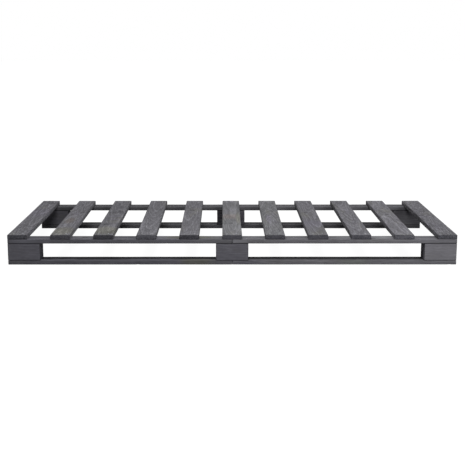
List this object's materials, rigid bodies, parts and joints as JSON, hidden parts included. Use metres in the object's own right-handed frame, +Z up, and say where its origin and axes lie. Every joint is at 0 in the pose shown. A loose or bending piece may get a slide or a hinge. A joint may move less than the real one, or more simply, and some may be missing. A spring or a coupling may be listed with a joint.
{
  "type": "pallet bed",
  "caption": "Low slatted bed base built like a pallet: an open slat deck laid across long side frames of rails and spacer blocks, standing flat on the floor.",
  "frame": {"origin": "middle of the footprint, on the floor", "axes": "+X along the bed, -Y towards the front long side, +Z up"},
  "size_m": [2, 0.9, 0.135],
  "materials": {
    "slat_wood": "planed pine, dark grey stain, matt",
    "rail_wood": "planed pine, dark grey stain, matt",
    "block_wood": "planed pine, dark grey stain, matt",
    "screw_steel": "zinc-plated"
  },
  "bodies": {
    "root": {"slat_01": "slat_wood", "slat_02": "slat_wood", "slat_03": "slat_wood", "slat_04": "slat_wood", "slat_05": "slat_wood", "slat_06": "slat_wood", "slat_07": "slat_wood", "slat_08": "slat_wood", "slat_09": "slat_wood", "slat_10": "slat_wood", "slat_11": "slat_wood", "front_top_rail_left": "rail_wood", "front_bottom_rail_left": "rail_wood", "front_top_rail_right": "rail_wood", "front_bottom_rail_right": "rail_wood", "front_block_left": "block_wood", "front_block_centre": "block_wood", "front_block_right": "block_wood", "rear_top_rail_left": "rail_wood", "rear_bottom_rail_left": "rail_wood", "rear_top_rail_right": "rail_wood", "rear_bottom_rail_right": "rail_wood", "rear_block_left": "block_wood", "rear_block_centre": "block_wood", "rear_block_right": "block_wood", "front_slat_screws": "screw_steel", "front_top_rail_screws": "screw_steel", "front_bottom_rail_screws": "screw_steel", "rear_slat_screws": "screw_steel", "rear_top_rail_screws": "screw_steel", "rear_bottom_rail_screws": "screw_steel"}
  },
  "joints": []
}
